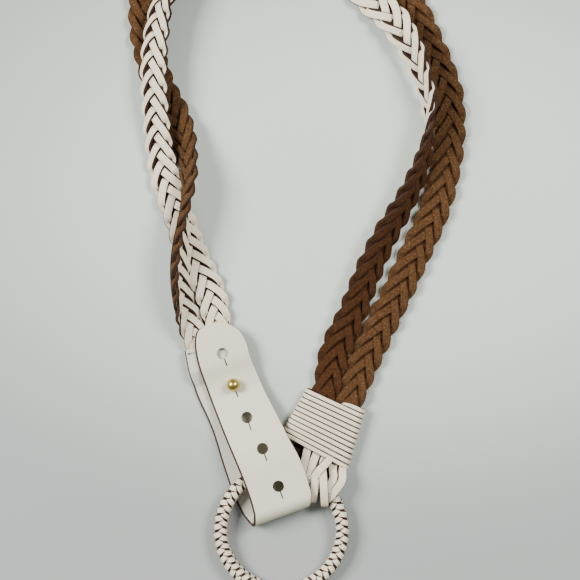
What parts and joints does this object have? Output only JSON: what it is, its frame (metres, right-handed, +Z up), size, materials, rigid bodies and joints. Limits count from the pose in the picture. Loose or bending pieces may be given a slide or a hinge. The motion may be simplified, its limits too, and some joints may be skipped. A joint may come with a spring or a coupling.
{
  "type": "braided belt",
  "caption": "Closed leather belt lying flat: twin flat-braided straps from a lace whipping beside a laced ring to a folded keyhole tab on a ball stud.",
  "frame": {"origin": "middle of the bounding box, on the surface the belt lies on", "axes": "+Y from the ring to the far side of the loop, +X towards the whipping's side, +Z up"},
  "size_m": [0.1948, 0.4206, 0.024],
  "materials": {
    "strap_leather": "brown suede on one face and smooth white on the other",
    "white_lace": "smooth white leather lace with dark brown cut edges",
    "tab_leather": "smooth matt white leather with dark brown cut edges",
    "brass": "polished"
  },
  "bodies": {
    "root": {"outer_strap": "strap_leather", "inner_strap": "strap_leather", "whipping": "white_lace", "ring": "white_lace", "ring_lace_1": "white_lace", "ring_lace_2": "white_lace", "ring_lace_3": "white_lace", "ring_lace_4": "white_lace", "ring_lace_5": "white_lace", "tab": "tab_leather", "stud": "brass"}
  },
  "joints": []
}
